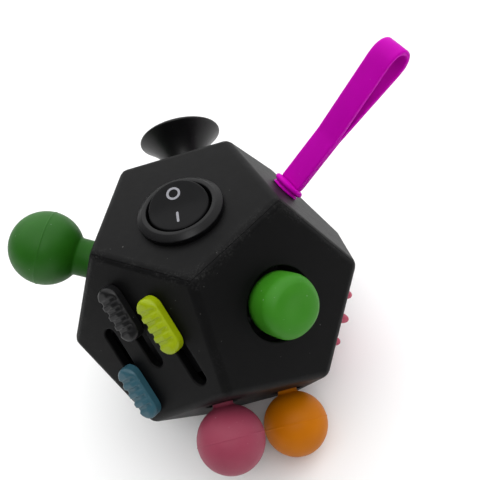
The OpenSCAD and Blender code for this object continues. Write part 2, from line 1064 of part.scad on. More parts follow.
// ---------- Rollers ----------

module roller(slot) {
  color("#8d9094")
    on_face(ROLLERS)
      translate([0, slot * (roller_w + roller_gap), roller_z])
        rotate([90, 0, 0])
          difference() {
            cylinder(h = roller_w, r = roller_r, center = true);
            cylinder(h = 2 * roller_w, r = axle_r + running, center = true);
            around(rib_count, 0)
              translate([roller_r + 0.15, 0, 0])
                cylinder(h = 2 * roller_w, r = 0.6, center = true);
          }
}

module roller_left() {
  roller(-1);
}

module roller_middle() {
  roller(0);
}

module roller_right() {
  roller(1);
}

module roller_axle() {
  color("#b9bcc0")
    on_face(ROLLERS)
      translate([0, 0, roller_z])
        rotate([90, 0, 0])
          cylinder(h = 2 * (roller_half + cheek_gap + cheek_t), r = axle_r, center = true);
}

module roller_cradle() {
  cheek_x = 2 * roller_r - 1.4;
  cheek_y = roller_half + cheek_gap;
  cheek_top = roller_z + axle_r + 0.4;
  color("#2b2b2d")
    on_face(ROLLERS)
      difference() {
        union() {
          for (side = [-1, 1])
            translate([-cheek_x / 2, side > 0 ? cheek_y : -cheek_y - cheek_t, cradle_z - plate_t])
              cube([cheek_x, cheek_t, cheek_top - cradle_z + plate_t]);
          translate([-cheek_x / 2, -cradle_post_y, cradle_z - plate_t])
            cube([cheek_x, 2 * cradle_post_y, plate_t]);
          for (side = [-1, 1])
            translate([0, side * cradle_post_y, 0])
              ear(cradle_z);
        }
        translate([0, 0, roller_z])
          rotate([90, 0, 0])
            cylinder(h = 4 * cheek_y, r = axle_r, center = true);
        for (side = [-1, 1])
          translate([0, side * cradle_post_y, 0])
            ear_hole(cradle_z);
      }
}

// ---------- Buttons ----------

module button_frame(i) {
  on_face(BUTTONS)
    rotate([0, 0, 120 * i])
      translate([button_ring_r, 0, 0])
        children();
}

module button(i, tint) {
  flange_top = -wall - sliding;
  flange_t = 0.9;
  chamfer = 0.5;
  bore_r = 2;
  color(tint)
    button_frame(i)
      difference() {
        union() {
          translate([0, 0, flange_top - flange_t])
            cylinder(h = button_h - chamfer - flange_top + flange_t, r = button_r);
          translate([0, 0, button_h - chamfer])
            cylinder(h = chamfer, r1 = button_r, r2 = button_r - chamfer);
          translate([0, 0, flange_top - flange_t])
            cylinder(h = flange_t, r = button_r + 0.7);
        }
        translate([0, 0, flange_top - 2 * flange_t])
          cylinder(h = button_roof_z - flange_top + 2 * flange_t, r = bore_r);
      }
}

module button_1() {
  button(0, "#3fa02f");
}

module button_2() {
  button(1, "#cf5f78");
}

module button_3() {
  button(2, "#4f8292");
}

module button_spring(i) {
  color("#b9bcc0")
    button_frame(i)
      translate([0, 0, button_plate_z])
        coil(1.55, 0.2, button_roof_z - button_plate_z, 5);
}

module button_spring_1() {
  button_spring(0);
}

module button_spring_2() {
  button_spring(1);
}

module button_spring_3() {
  button_spring(2);
}

module button_base() {
  color("#2b2b2d")
    difference() {
      union() {
        on_face(BUTTONS)
          translate([0, 0, button_plate_z - plate_t])
            cylinder(h = plate_t, r = button_ring_r + 3);
        on_face(BUTTONS)
          around(3, 60)
            web_ear(button_plate_z, button_post_ring);
        for (i = [0 : 2])
          button_frame(i)
            translate([0, 0, button_plate_z - 0.1])
              cylinder(h = 1.6, r = 1.2);
      }
      on_face(BUTTONS)
        around(3, 60)
          translate([button_post_ring, 0, 0])
            ear_hole(button_plate_z);
    }
}

// ---------- Dial ----------

module dial() {
  gap = 0.3;
  hub_end_z = -wall - 0.3;
  dimple_r = 3.4;
  notch_r = 0.7;
  color("#8d9094")
    on_face(DIAL)
      difference() {
        union() {
          translate([0, 0, gap])
            cylinder(h = dial_t, r = dial_r);
          translate([0, 0, hub_end_z])
            cylinder(h = gap + 0.5 - hub_end_z, r = hub_r);
        }
        translate([dial_r * 0.5, 0, gap + dial_t + 2.2])
          sphere(r = dimple_r);
        around(notch_count, 0)
          translate([dial_r + 0.3, 0, -1])
            cylinder(h = dial_t + 3, r = notch_r);
        translate([0, 0, washer_z])
          cylinder(h = 3, r = dial_screw_r + 0.02);
      }
}

module dial_washer() {
  color("#b9bcc0")
    on_face(DIAL)
      translate([0, 0, washer_z])
        difference() {
          cylinder(h = washer_t, r = hub_r + 1.6);
          translate([0, 0, -washer_t])
            cylinder(h = 3 * washer_t, r = dial_screw_r + sliding);
        }
}

module dial_screw() {
  color("#b9bcc0")
    on_face(DIAL)
      translate([0, 0, washer_z - head_h]) {
        cylinder(h = head_h, r = 2 * dial_screw_r);
        cylinder(h = head_h + 2.9, r = dial_screw_r);
      }
}

// ---------- Assembly ----------

front_shell();
rear_shell();
retainer_screws();
switch_housing();
switch_rocker();
switch_plunger();
switch_spring();
switch_lever();
switch_terminals();
joystick_cap();
joystick_stick();
gimbal_ring();
joystick_housing();
joystick_spring();
slider_knob_black();
slider_knob_lime();
slider_knob_blue();
slider_clip_black();
slider_clip_lime();
slider_clip_blue();
slider_backplate();
strap_loop();
strap_collar();
suction_cup();
green_ball();
pink_ball();
orange_ball();
stud_pad();
stud_backing();
roller_left();
roller_middle();
roller_right();
roller_axle();
roller_cradle();
button_1();
button_2();
button_3();
button_spring_1();
button_spring_2();
button_spring_3();
button_base();
dial();
dial_washer();
dial_screw();
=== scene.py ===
import math

import bmesh
import bpy
from mathutils import Matrix, Vector


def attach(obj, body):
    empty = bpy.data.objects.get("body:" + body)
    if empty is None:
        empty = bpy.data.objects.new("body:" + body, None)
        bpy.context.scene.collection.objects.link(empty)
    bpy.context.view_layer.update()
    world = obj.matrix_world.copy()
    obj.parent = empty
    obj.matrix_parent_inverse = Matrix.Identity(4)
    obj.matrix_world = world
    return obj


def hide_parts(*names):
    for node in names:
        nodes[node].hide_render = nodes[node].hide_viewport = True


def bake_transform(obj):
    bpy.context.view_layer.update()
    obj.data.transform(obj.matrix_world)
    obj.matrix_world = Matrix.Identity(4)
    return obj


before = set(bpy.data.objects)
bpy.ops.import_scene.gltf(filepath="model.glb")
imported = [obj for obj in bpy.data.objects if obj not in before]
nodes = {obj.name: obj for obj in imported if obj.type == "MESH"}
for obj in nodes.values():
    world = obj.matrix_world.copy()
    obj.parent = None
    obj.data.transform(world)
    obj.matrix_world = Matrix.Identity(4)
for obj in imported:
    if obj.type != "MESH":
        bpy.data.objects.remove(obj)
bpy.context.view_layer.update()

# ---------- Sizes in millimetres, in the frames of the faces ----------

MM = 0.001
INRADIUS = 26.0
WALL = 1.8
EDGE_ROUND = 2.2
SEAM_GAP = 0.1
RIM_ROUND = 0.35
FACE_TILT = math.degrees(math.atan(2))

TOP = (0, 0)
JOYSTICK = (-54, FACE_TILT)
STRAP = (18, FACE_TILT)
CUP = (90, FACE_TILT)
BIG_BALL = (162, FACE_TILT)
SLIDERS = (234, FACE_TILT)
ROLLERS = (54, 180 - FACE_TILT)
BUTTONS = (126, 180 - FACE_TILT)
DIAL = (198, 180 - FACE_TILT)
SMALL_BALLS = (270, 180 - FACE_TILT)
STUDS = (342, 180 - FACE_TILT)

SWITCH_SHIFT = 2.2
ROCKER_Z = -1.0
ROCKER_TILT = 8
SLIDER_TURN = 36
SLOT_PITCH = 7.7
SLOT_W = 3.2
TRAVEL = 10.3
STEM_L = 7.2
OUTER_SLOT_S = 3.45
MIDDLE_SLOT_S = -2.85
STRAP_SHIFT = (-2.6, 1.9)
STRAP_TURN = 108
STRAP_LEAN = 11.5
BEND_Z = 3.35
BIG_BALL_AT = (1.2, 1.0)
PINK_AT = (-7.4, -3.3)
ORANGE_AT = (4.3, 9.2)
STRAP_L = 34.0
LOOP_R = 3.6
BAND_T = 1.1
ROLLER_STEP = 3.6
ROLLER_Z = -1.6
AXLE_HOLE_R = 0.86
BUTTON_RING_R = 5.2

# Holes in the skins
JOYSTICK_HOLE_R = 7.3
STUD_HOLE_R = 8.45
SMALL_BALL_HOLE_R = 3.45
DIAL_HOLE_R = 2.66
BARREL_HOLE_R = 7.41
STRAP_HOLE_R = 2.0
CUP_HOLE_R = 3.95
BIG_BALL_HOLE_R = 4.35
ROLLER_WINDOW = (9.2, 14.2)
BUTTON_HOLE_R = 3.1


# ---------- Frames ----------

def turn(degrees, axis):
    return Matrix.Rotation(math.radians(degrees), 4, axis)


def shift(x, y, z):
    return Matrix.Translation((x, y, z))


def face(place):
    """Frame of a face: z = 0 on its surface, x down its slope, y round the body."""
    return shift(0, 0, INRADIUS) @ turn(place[0], "Z") @ turn(place[1], "Y") @ shift(0, 0, INRADIUS)


def slider_frame(s, q):
    return face(SLIDERS) @ turn(SLIDER_TURN, "Z") @ shift(s, q, 0)


def button_frame(i):
    return face(BUTTONS) @ turn(120 * i, "Z") @ shift(BUTTON_RING_R, 0, 0)


SWITCH_FRAME = face(TOP) @ shift(0, -SWITCH_SHIFT, 0)
ROCKER_FRAME = SWITCH_FRAME @ shift(0, 0, ROCKER_Z) @ turn(ROCKER_TILT, "X")
BIG_BALL_FRAME = face(BIG_BALL) @ shift(BIG_BALL_AT[0], BIG_BALL_AT[1], 0)
STRAP_FRAME = face(STRAP) @ shift(STRAP_SHIFT[0], STRAP_SHIFT[1], 0) @ turn(STRAP_TURN, "Z")
LOOP_FRAME = STRAP_FRAME @ shift(0, 0, BEND_Z) @ turn(-STRAP_LEAN, "X")


# ---------- Mesh helpers ----------

def arc(centre, radius, start, end, count):
    """Points on an arc in the (r, z) plane, angles in degrees."""
    points = []
    for i in range(count + 1):
        a = math.radians(start + (end - start) * i / count)
        points.append((centre[0] + radius * math.cos(a), centre[1] + radius * math.sin(a)))
    return points


def smooth_edges(mesh, angle):
    """Shades smooth, and marks edges sharper than the angle as sharp."""
    bm = bmesh.new()
    bm.from_mesh(mesh)
    limit = math.radians(angle)
    for f in bm.faces:
        f.smooth = True
    for e in bm.edges:
        e.smooth = len(e.link_faces) == 2 and e.calc_face_angle(0) < limit
    bm.to_mesh(mesh)
    bm.free()


def finish_mesh(bm, name, matrix, angle=40):
    """Turns a bmesh in local millimetres into an object in metres."""
    bmesh.ops.remove_doubles(bm, verts=bm.verts, dist=1e-4)
    bmesh.ops.recalc_face_normals(bm, faces=bm.faces)
    mesh = bpy.data.meshes.new(name)
    bm.to_mesh(mesh)
    bm.free()
    mesh.transform(Matrix.Scale(MM, 4) @ matrix)
    smooth_edges(mesh, angle)
    obj = bpy.data.objects.new(name, mesh)
    bpy.context.scene.collection.objects.link(obj)
    return obj


def dress(obj, body, material, slot, replaced=()):
    """Gives a piece its finish and its body, and hides the CAD nodes it stands for."""
    obj.data.materials.clear()
    obj.data.materials.append(material)
    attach(obj, body)
    if replaced:
        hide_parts(*replaced)
    return obj


def revolve(profile, steps=96, warp=None):
    """Surface of revolution about z from (r, z) points; r of 0 closes it on the axis."""
    bm = bmesh.new()
    rings = []
    for r, z in profile:
        if r < 1e-6:
            rings.append([bm.verts.new((0, 0, z))])
            continue
        ring = []
        for k in range(steps):
            a = 2 * math.pi * k / steps
            ring.append(bm.verts.new((r * math.cos(a), r * math.sin(a), z)))
        rings.append(ring)
    for low, high in zip(rings, rings[1:]):
        join_rings(bm, low, high)
    if warp:
        for v in bm.verts:
            v.co = warp(v.co)
    return bm


def join_rings(bm, low, high):
    steps = max(len(low), len(high))
    for k in range(steps):
        n = (k + 1) % steps
        if len(low) == 1:
            bm.faces.new((low[0], high[n], high[k]))
        elif len(high) == 1:
            bm.faces.new((low[k], low[n], high[0]))
        else:
            bm.faces.new((low[k], low[n], high[n], high[k]))


def loft(bm, outlines, cap_start=True, cap_end=True):
    """Skin through closed outlines that have the same number of points."""
    rings = [[bm.verts.new(p) for p in outline] for outline in outlines]
    for low, high in zip(rings, rings[1:]):
        join_rings(bm, low, high)
    if cap_start:
        bm.faces.new(list(reversed(rings[0])))
    if cap_end:
        bm.faces.new(rings[-1])
    return rings


def stadium(length, width, z, count=16):
    """Closed outline of a bar with half-round ends, along x."""
    half = (length - width) / 2
    points = []
    for side, start in ((1, -90), (-1, 90)):
        for i in range(count + 1):
            a = math.radians(start + 180 * i / count)
            points.append((side * half + width / 2 * math.cos(a), width / 2 * math.sin(a), z))
    return points


def circle_outline(radius, z, count=64):
    return [
        (radius * math.cos(2 * math.pi * i / count), radius * math.sin(2 * math.pi * i / count), z)
        for i in range(count)
    ]


# ---------- Materials ----------

class Shader:
    """A small wrapper that keeps the node trees readable."""

    def __init__(self, name):
        self.material = bpy.data.materials.new(name)
        self.material.use_nodes = True
        self.tree = self.material.node_tree
        self.surface = self.tree.nodes["Principled BSDF"]
        coordinates = self.add("ShaderNodeTexCoord").outputs["Object"]
        scaled = self.add("ShaderNodeVectorMath", operation="SCALE")
        self.link(coordinates, scaled.inputs[0])
        scaled.inputs["Scale"].default_value = 1 / MM
        self.place = scaled.outputs[0]

    def add(self, kind, **settings):
        node = self.tree.nodes.new(kind)
        for key, value in settings.items():
            setattr(node, key, value)
        return node

    def link(self, source, target):
        self.tree.links.new(source, target)

    def feed(self, value, socket):
        if isinstance(value, (int, float, tuple)):
            socket.default_value = value
        else:
            self.link(value, socket)

    def math(self, operation, a, b=0.0, clamp=False):
        node = self.add("ShaderNodeMath", operation=operation, use_clamp=clamp)
        self.feed(a, node.inputs[0])
        self.feed(b, node.inputs[1])
        return node.outputs[0]

    def dot(self, direction):
        node = self.add("ShaderNodeVectorMath", operation="DOT_PRODUCT")
        self.link(self.centred(), node.inputs[0])
        node.inputs[1].default_value = direction
        return node.outputs["Value"]

    def centred(self):
        """Place measured from the middle of the body, in millimetres."""
        if not hasattr(self, "_centred"):
            node = self.add("ShaderNodeVectorMath", operation="SUBTRACT")
            self.link(self.place, node.inputs[0])
            node.inputs[1].default_value = (0, 0, INRADIUS)
            self._centred = node.outputs[0]
        return self._centred

    def noise(self, scale, detail=3.0, roughness=0.5):
        node = self.add("ShaderNodeTexNoise")
        self.link(self.place, node.inputs["Vector"])
        node.inputs["Scale"].default_value = scale
        node.inputs["Detail"].default_value = detail
        node.inputs["Roughness"].default_value = roughness
        return node.outputs["Fac"]

    def specks(self, scale, size, share):
        """Small round spots in a share of random cells."""
        cells = self.add("ShaderNodeTexVoronoi")
        self.link(self.place, cells.inputs["Vector"])
        cells.inputs["Scale"].default_value = scale
        near = self.math("LESS_THAN", cells.outputs["Distance"], size)
        pick = self.add("ShaderNodeSeparateColor")
        self.link(cells.outputs["Color"], pick.inputs[0])
        chosen = self.math("GREATER_THAN", pick.outputs[0], 1 - share)
        return self.math("MULTIPLY", near, chosen)

    def ramp(self, value, low, high):
        node = self.add("ShaderNodeMapRange", interpolation_type="SMOOTHSTEP")
        self.feed(value, node.inputs["Value"])
        node.inputs["From Min"].default_value = low
        node.inputs["From Max"].default_value = high
        return node.outputs["Result"]

    def mix(self, factor, a, b):
        node = self.add("ShaderNodeMix", data_type="RGBA")
        self.feed(factor, node.inputs["Factor"])
        self.feed(a if not isinstance(a, tuple) else a + (1,), node.inputs["A"])
        self.feed(b if not isinstance(b, tuple) else b + (1,), node.inputs["B"])
        return node.outputs["Result"]

    def span(self, value, low, high):
        """Maps 0..1 to low..high."""
        node = self.add("ShaderNodeMapRange")
        self.feed(value, node.inputs["Value"])
        node.inputs["To Min"].default_value = low
        node.inputs["To Max"].default_value = high
        return node.outputs["Result"]

    def bump(self, height, distance, strength=1.0):
        node = self.add("ShaderNodeBump")
        node.inputs["Strength"].default_value = strength
        node.inputs["Distance"].default_value = distance * MM
        self.feed(height, node.inputs["Height"])
        self.link(node.outputs[0], self.surface.inputs["Normal"])

    def set(self, **values):
        for key, value in values.items():
            self.feed(value, self.surface.inputs[key.replace("_", " ")])


def face_normal(place):
    return tuple((turn(place[0], "Z") @ turn(place[1], "Y")).to_3x3() @ Vector((0, 0, 1)))


REAR_FACES = (TOP, STRAP, CUP, BIG_BALL, ROLLERS, BUTTONS)


def soft_black():
    """Soft-touch black shell: fine grain, lint, and scuffs along the seam and edges."""
    s = Shader("soft_black")
    highest, second, lowest, rear_most = 0.0, 0.0, 0.0, 0.0
    for place in REAR_FACES:
        along = s.dot(face_normal(place))
        size = s.math("ABSOLUTE", along)
        second = s.math("MAXIMUM", second, s.math("MINIMUM", highest, size))
        highest = s.math("MAXIMUM", highest, size)
        lowest = s.math("MINIMUM", lowest, along)
        rear_most = s.math("MAXIMUM", rear_most, along)
    edge = s.math("SUBTRACT", highest, second)
    seam = s.math("ABSOLUTE", s.math("ADD", rear_most, lowest))
    cloud = s.noise(0.3, 4)
    grit = s.noise(2.6, 5, 0.7)
    near_edge = s.math("SUBTRACT", 1.0, s.ramp(edge, 0.0, 2.4))
    near_seam = s.math("SUBTRACT", 1.0, s.ramp(seam, 0.2, 2.6))
    rub = s.math("MULTIPLY", s.ramp(grit, 0.5, 0.62), s.ramp(cloud, 0.38, 0.6))
    wear = s.math("MULTIPLY", near_seam, rub)
    wear = s.math("ADD", wear, s.math("MULTIPLY", near_edge, s.math("MULTIPLY", rub, 0.3)), True)
    base = s.mix(cloud, (0.0008, 0.0008, 0.001), (0.0018, 0.0018, 0.002))
    base = s.mix(s.math("MULTIPLY", wear, 0.3), base, (0.05, 0.05, 0.048))
    lint = s.math("ADD", s.specks(0.5, 0.07, 0.1), s.specks(1.1, 0.08, 0.05), True)
    base = s.mix(s.math("MULTIPLY", lint, 0.4), base, (0.2, 0.2, 0.19))
    s.set(Base_Color=base, Roughness=s.span(s.noise(0.8, 4), 0.46, 0.58))
    s.surface.inputs["Specular IOR Level"].default_value = 0.12
    s.bump(s.math("ADD", s.noise(6.0, 3), s.math("MULTIPLY", wear, 0.8)), 0.014)
    return s.material


def gloss_black(name="gloss_black", rough=(0.26, 0.36), specular=0.18):
    """Polished nylon with fine wipe marks."""
    s = Shader(name)
    base = s.mix(s.noise(0.6, 3), (0.002, 0.002, 0.0024), (0.005, 0.005, 0.0056))
    dust = s.specks(1.3, 0.1, 0.05)
    base = s.mix(s.math("MULTIPLY", dust, 0.35), base, (0.3, 0.3, 0.3))
    s.set(Base_Color=base, Roughness=s.span(s.noise(1.4, 5, 0.65), rough[0], rough[1]))
    s.surface.inputs["Specular IOR Level"].default_value = specular
    s.bump(s.noise(3.0, 4), 0.004)
    return s.material


def silicone(name, dark, light, roughness=(0.42, 0.56), dusty=0.5, specular=0.35, through=0.12):
    """Moulded silicone: slightly translucent, with lint and a fine matte grain."""
    s = Shader(name)
    base = s.mix(s.noise(0.25, 3), dark, light)
    lint = s.math("ADD", s.specks(0.9, 0.1, 0.09), s.specks(1.9, 0.1, 0.04), True)
    pale = tuple(0.55 * c + 0.3 for c in light)
    base = s.mix(s.math("MULTIPLY", lint, dusty), base, pale)
    s.set(Base_Color=base, Roughness=s.span(s.noise(1.1, 4), roughness[0], roughness[1]))
    s.surface.inputs["Specular IOR Level"].default_value = specular
    s.surface.inputs["Subsurface Weight"].default_value = through
    s.surface.inputs["Subsurface Radius"].default_value = (1.0, 1.0, 1.0)
    s.surface.inputs["Subsurface Scale"].default_value = 0.0012
    s.bump(s.noise(7.0, 3), 0.012)
    return s.material


def moulded(name, dark, light, roughness=(0.3, 0.42), specular=0.45):
    """Moulded ABS with flow variation and a satin face."""
    s = Shader(name)
    base = s.mix(s.noise(0.5, 3), dark, light)
    dust = s.specks(1.4, 0.1, 0.04)
    base = s.mix(s.math("MULTIPLY", dust, 0.4), base, (0.5, 0.5, 0.48))
    s.set(Base_Color=base, Roughness=s.span(s.noise(1.5, 4), roughness[0], roughness[1]))
    s.surface.inputs["Specular IOR Level"].default_value = specular
    s.bump(s.noise(5.0, 3), 0.008)
    return s.material


def metal(name, dark, light, roughness):
    """Plated or stamped metal with fine scratches."""
    s = Shader(name)
    s.set(
        Base_Color=s.mix(s.noise(1.2, 4), dark, light),
        Roughness=s.span(s.noise(2.5, 5), roughness[0], roughness[1]),
    )
    s.surface.inputs["Metallic"].default_value = 1.0
    s.bump(s.noise(8.0, 4), 0.006)
    return s.material


def paint(name, colour):
    """Pad-printed mark, slightly uneven."""
    s = Shader(name)
    faded = tuple(0.8 * c for c in colour)
    s.set(Base_Color=s.mix(s.noise(2.5, 4), faded, colour), Roughness=s.span(s.noise(3.0), 0.4, 0.55))
    return s.material


BLACK = soft_black()
GLOSS = gloss_black()
ROCKER_GLOSS = gloss_black("rocker_gloss", (0.34, 0.44), 0.08)
GREEN = silicone("silicone_green", (0.011, 0.092, 0.003), (0.016, 0.118, 0.004), specular=0.22)
CAP_GREEN = silicone("silicone_cap_green", (0.03, 0.185, 0.008), (0.04, 0.215, 0.01), specular=0.2)
MAGENTA = silicone(
    "silicone_magenta", (0.46, 0.0, 0.37), (0.53, 0.0, 0.43),
    roughness=(0.5, 0.6), dusty=0.1, specular=0.05, through=0.6,
)
PINK = silicone("silicone_pink", (0.26, 0.04, 0.075), (0.31, 0.05, 0.09), specular=0.2)
ORANGE = silicone("silicone_orange", (0.47, 0.135, 0.0), (0.55, 0.165, 0.0), specular=0.12)
STUD_PINK = silicone("silicone_stud_pink", (0.42, 0.06, 0.11), (0.5, 0.085, 0.14))
BLACK_RUBBER = silicone(
    "silicone_black", (0.002, 0.002, 0.0023), (0.004, 0.004, 0.0045),
    roughness=(0.32, 0.44), dusty=0.3, specular=0.35,
)
LIME = moulded("abs_lime", (0.26, 0.34, 0.0), (0.31, 0.4, 0.003), specular=0.25)
BLUE = moulded("abs_blue", (0.024, 0.083, 0.112), (0.032, 0.1, 0.135), specular=0.3)
KNOB_BLACK = moulded("abs_knob_black", (0.004, 0.004, 0.0045), (0.008, 0.008, 0.0085), specular=0.25)
DARK = moulded("abs_dark", (0.008, 0.008, 0.009), (0.014, 0.014, 0.015), (0.45, 0.6))
WHITE = moulded("acetal_white", (0.6, 0.58, 0.53), (0.7, 0.68, 0.63))
GREY = moulded("abs_grey", (0.17, 0.18, 0.19), (0.23, 0.24, 0.25), (0.36, 0.5))
STEEL = metal("steel", (0.5, 0.51, 0.53), (0.62, 0.63, 0.65), (0.25, 0.4))
BRASS = metal("brass", (0.55, 0.38, 0.13), (0.7, 0.5, 0.2), (0.25, 0.4))
MARK = paint("switch_mark", (0.27, 0.27, 0.3))


# ---------- Body ----------

def body_edge(inradius):
    return inradius * 2 / math.sqrt(5 / 2 + 11 / 10 * math.sqrt(5))


def belt(edge):
    """Radius and height of the ring of corners between the upper and lower faces."""
    corner = math.sqrt(3) * (1 + math.sqrt(5)) / 4 * edge
    radius = edge * math.tan(math.radians(54))
    return radius, math.sqrt(corner ** 2 - radius ** 2)


def body_points(inradius):
    """The 20 corners of a dodecahedron whose top face is level."""
    edge = body_edge(inradius)
    cap_r = edge / (2 * math.sin(math.radians(36)))
    belt_r, belt_z = belt(edge)
    points = []
    for i in range(5):
        for start, r, z in (
            (-90, cap_r, inradius), (-90, belt_r, belt_z),
            (-54, belt_r, -belt_z), (-54, cap_r, -inradius),
        ):
            a = math.radians(start + 72 * i)
            points.append((r * math.cos(a), r * math.sin(a), z + INRADIUS))
    return points


def hull_object(points, rounding=0.0):
    bm = bmesh.new()
    for p in points:
        bm.verts.new(p)
    bmesh.ops.convex_hull(bm, input=bm.verts)
    bmesh.ops.dissolve_limit(bm, angle_limit=math.radians(2), verts=bm.verts, edges=bm.edges)
    if rounding:
        offset = rounding * math.tan(math.radians(31.717))
        bmesh.ops.bevel(
            bm, geom=bm.edges[:] + bm.verts[:], offset=offset, segments=8, profile=0.5,
            affect="EDGES", offset_type="OFFSET",
        )
    return scratch_object(bm)


def scratch_object(bm):
    """Temporary object in millimetres, for booleans."""
    bmesh.ops.recalc_face_normals(bm, faces=bm.faces)
    mesh = bpy.data.meshes.new("scratch")
    bm.to_mesh(mesh)
    bm.free()
    obj = bpy.data.objects.new("scratch", mesh)
    bpy.context.scene.collection.objects.link(obj)
    return obj


def boolean(target, cutter, operation, keep_cutter=False):
    modifier = target.modifiers.new("cut", "BOOLEAN")
    modifier.operation = operation
    modifier.solver = "MANIFOLD"
    modifier.object = cutter
    depsgraph = bpy.context.evaluated_depsgraph_get()
    result = bpy.data.meshes.new_from_object(target.evaluated_get(depsgraph))
    target.modifiers.remove(modifier)
    target.data = result
    if not keep_cutter:
        bpy.data.objects.remove(cutter)
    return target


def rear_zone(offset):
    """Everything on the rear side of the seam, moved along the rear axis."""
    reach = 1.6
    edge = body_edge(INRADIUS)
    belt_r, belt_z = (reach * size for size in belt(edge))
    matrix = shift(0, 0, INRADIUS) @ turn(CUP[0], "Z") @ turn(CUP[1], "Y") @ shift(0, 0, offset)
    bm = bmesh.new()
    middle = bm.verts.new((0, 0, 0))
    far = bm.verts.new((0, 0, 5 * edge))
    ring = []
    for i in range(10):
        a = math.radians(36 * i)
        z = belt_z if i % 2 == 0 else -belt_z
        ring.append(bm.verts.new((belt_r * math.cos(a), belt_r * math.sin(a), z)))
    for i in range(10):
        n = (i + 1) % 10
        bm.faces.new((middle, ring[i], ring[n]))
        bm.faces.new((far, ring[n], ring[i]))
    bm.transform(matrix)
    return scratch_object(bm)


def rimmed_cutter(outline, matrix, depth=6.0):
    """Cutter for a hole whose outer rim is rounded; outline(grow, z) gives its outline."""
    rows = [outline(0, -depth), outline(0, -RIM_ROUND)]
    for i in range(1, 6):
        a = math.radians(90 * i / 5)
        rows.append(outline(RIM_ROUND * (1 - math.cos(a)), -RIM_ROUND + RIM_ROUND * math.sin(a)))
    rows.append(outline(RIM_ROUND, 3))
    bm = bmesh.new()
    loft(bm, rows)
    bm.transform(matrix)
    return scratch_object(bm)


def round_cutter(radius, matrix):
    return rimmed_cutter(lambda grow, z: circle_outline(radius + grow, z, 96), matrix)


def box_outline(width_x, width_y, grow, z):
    x, y = width_x / 2 + grow, width_y / 2 + grow
    return [(x, -y, z), (x, y, z), (-x, y, z), (-x, -y, z)]


def front_cutters():
    cutters = [round_cutter(JOYSTICK_HOLE_R, face(JOYSTICK))]
    slot_l = TRAVEL + STEM_L
    for row in (-1, 0, 1):
        s = MIDDLE_SLOT_S if row == 0 else OUTER_SLOT_S
        cutters.append(rimmed_cutter(
            lambda grow, z: stadium(slot_l + 2 * grow, SLOT_W + 2 * grow, z),
            slider_frame(s, row * SLOT_PITCH),
        ))
    cutters.append(round_cutter(STUD_HOLE_R, face(STUDS)))
    for at in (PINK_AT, ORANGE_AT):
        cutters.append(round_cutter(SMALL_BALL_HOLE_R, face(SMALL_BALLS) @ shift(at[0], at[1], 0)))
    cutters.append(round_cutter(DIAL_HOLE_R, face(DIAL)))
    return cutters


def rear_cutters():
    cutters = [
        round_cutter(BARREL_HOLE_R, SWITCH_FRAME),
        round_cutter(STRAP_HOLE_R, STRAP_FRAME),
        round_cutter(CUP_HOLE_R, face(CUP)),
        round_cutter(BIG_BALL_HOLE_R, BIG_BALL_FRAME),
        rimmed_cutter(lambda grow, z: box_outline(*ROLLER_WINDOW, grow, z), face(ROLLERS)),
    ]
    for i in range(3):
        cutters.append(round_cutter(BUTTON_HOLE_R, button_frame(i)))
    return cutters


def dish_cutter():
    """Shallow spherical finger dish with a soft rim, in the resting face."""
    radius, depth, rim = 10.0, 1.4, 0.5
    sphere_r = (radius ** 2 + depth ** 2) / (2 * depth)
    rows = []
    for i in range(14):
        r = radius * i / 14
        rows.append((r, depth - sphere_r + math.sqrt(sphere_r ** 2 - r ** 2)))
    rows += [(radius - 0.15, 0.09), (radius + 0.1, 0.03)]
    rows += [(radius + rim, 0.0), (radius + rim, -3), (0, -3)]
    bm = revolve(rows, 128)
    return scratch_object(bm)


def shell_half(name, rear):
    """Hollow rounded body, split along the seam, with its openings cut."""
    half = boolean(
        boolean(
            hull_object(body_points(INRADIUS), EDGE_ROUND),
            hull_object(body_points(INRADIUS - WALL)),
            "DIFFERENCE",
        ),
        rear_zone(SEAM_GAP / 2 if rear else -SEAM_GAP / 2),
        "INTERSECT" if rear else "DIFFERENCE",
    )
    for cutter in rear_cutters() if rear else front_cutters():
        half = boolean(half, cutter, "DIFFERENCE")
    if not rear:
        pad = scratch_object(revolve([(0, 1.7), (10.8, 1.7), (10.8, 3.2), (0, 3.2)], 96))
        half = boolean(half, pad, "UNION")
        half = boolean(half, dish_cutter(), "DIFFERENCE")
    bm = bmesh.new()
    bm.from_mesh(half.data)
    bpy.data.objects.remove(half)
    skin = finish_mesh(bm, name, Matrix.Identity(4), 32)
    normals = skin.modifiers.new("flat_faces", "WEIGHTED_NORMAL")
    normals.keep_sharp = True
    return skin


dress(shell_half("front_skin", False), "shell", BLACK, "body_black", ["front_shell"])
dress(shell_half("rear_skin", True), "shell", BLACK, "body_black", ["rear_shell"])


# ---------- Rocker switch ----------

def switch_bezel():
    """Round bezel with a raised rim, and the barrel behind it."""
    profile = [(0, -9.5), (7.2, -9.5), (7.35, -9.35), (7.35, -3), (7.75, -2.1), (7.75, -1.8)]
    profile += [(7.35, -1.8), (7.35, 0.02), (8.45, 0.02)]
    profile += arc((8.4, 0.22), 0.2, -90, 0, 4)
    profile += arc((8.3, 0.95), 0.3, 0, 48, 5)
    profile += arc((7.3, 1.6), 0.3, 52, 90, 4)
    profile += arc((6.85, 1.55), 0.35, 90, 180, 7)
    profile += [(6.5, 0.9), (6.5, -8.3), (0, -8.3)]
    return finish_mesh(revolve(profile, 128), "bezel", SWITCH_FRAME, 35)


def rocker_height(y):
    """Height of the rocker's top above its hinge: two slopes that meet in a crease."""
    slope = math.tan(math.radians(ROCKER_TILT))
    soft = 1.4
    return 3.2 + slope * (math.sqrt(y * y + soft * soft) - soft)


